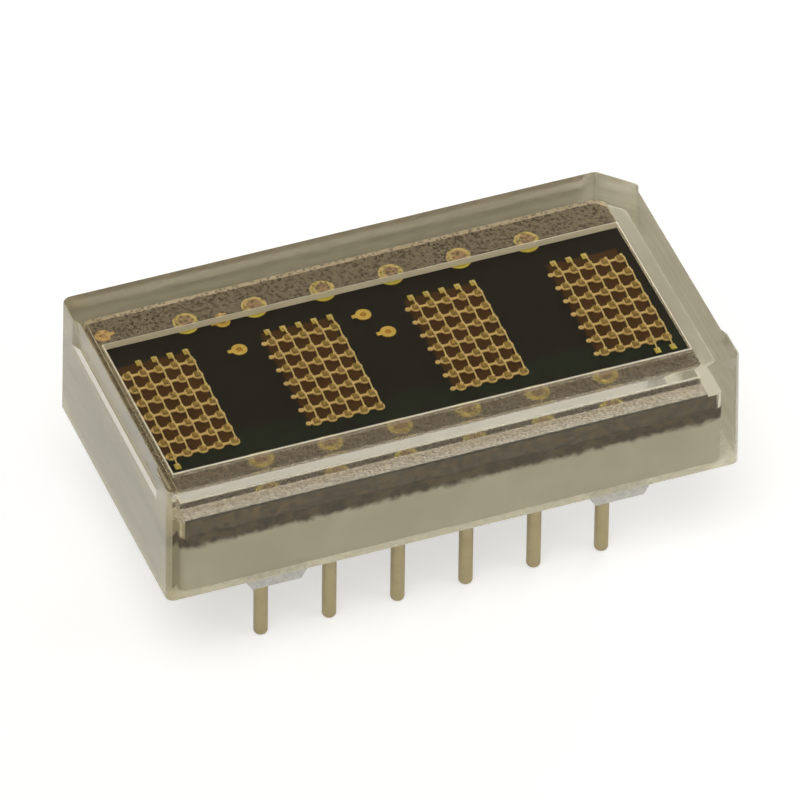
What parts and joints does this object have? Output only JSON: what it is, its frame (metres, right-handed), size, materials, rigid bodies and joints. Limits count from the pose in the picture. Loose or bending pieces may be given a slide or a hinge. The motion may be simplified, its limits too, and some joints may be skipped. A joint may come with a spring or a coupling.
{
  "type": "led dot matrix display",
  "caption": "Dot matrix LED display module: clear moulded lens over a dark board with gold dot grids, potted underside and two rows of round solder pins",
  "frame": {"origin": "on the seating plane, at the bottom of the standoffs, in the middle of the pin field", "axes": "+X along the line of characters in reading order, +Y towards the top of the characters, +Z out of the viewing face"},
  "size_m": [0.0212, 0.011, 0.009],
  "materials": {
    "clear_plastic": "clear moulded plastic, polished outside, frosted where it seats on the board",
    "board": "dark brown solder resist, semi matte",
    "epoxy": "pale cloudy potting resin",
    "plating": "gold plating",
    "silicon": "polished silicon",
    "pin_metal": "satin plated pin",
    "track_gold": "satin gold plating",
    "pad_gold": "bright gold plating",
    "led_die": "olive brown semiconductor",
    "gold_wire": "drawn gold wire"
  },
  "bodies": {
    "root": {"lens": "clear_plastic", "circuit_board": "board", "potting": "epoxy", "pin_rings": "plating", "board_pads": "plating", "driver_chip_left": "silicon", "driver_chip_right": "silicon", "pin_01": "pin_metal", "pin_02": "pin_metal", "pin_03": "pin_metal", "pin_04": "pin_metal", "pin_05": "pin_metal", "pin_06": "pin_metal", "pin_07": "pin_metal", "pin_08": "pin_metal", "pin_09": "pin_metal", "pin_10": "pin_metal", "pin_11": "pin_metal", "pin_12": "pin_metal", "row_tracks_1": "track_gold", "row_tracks_2": "track_gold", "row_tracks_3": "track_gold", "row_tracks_4": "track_gold", "bond_pads_1": "pad_gold", "bond_pads_2": "pad_gold", "bond_pads_3": "pad_gold", "bond_pads_4": "pad_gold", "led_dice_1": "led_die", "led_dice_2": "led_die", "led_dice_3": "led_die", "led_dice_4": "led_die", "bond_wires_1": "gold_wire", "bond_wires_2": "gold_wire", "bond_wires_3": "gold_wire", "bond_wires_4": "gold_wire"}
  },
  "joints": []
}
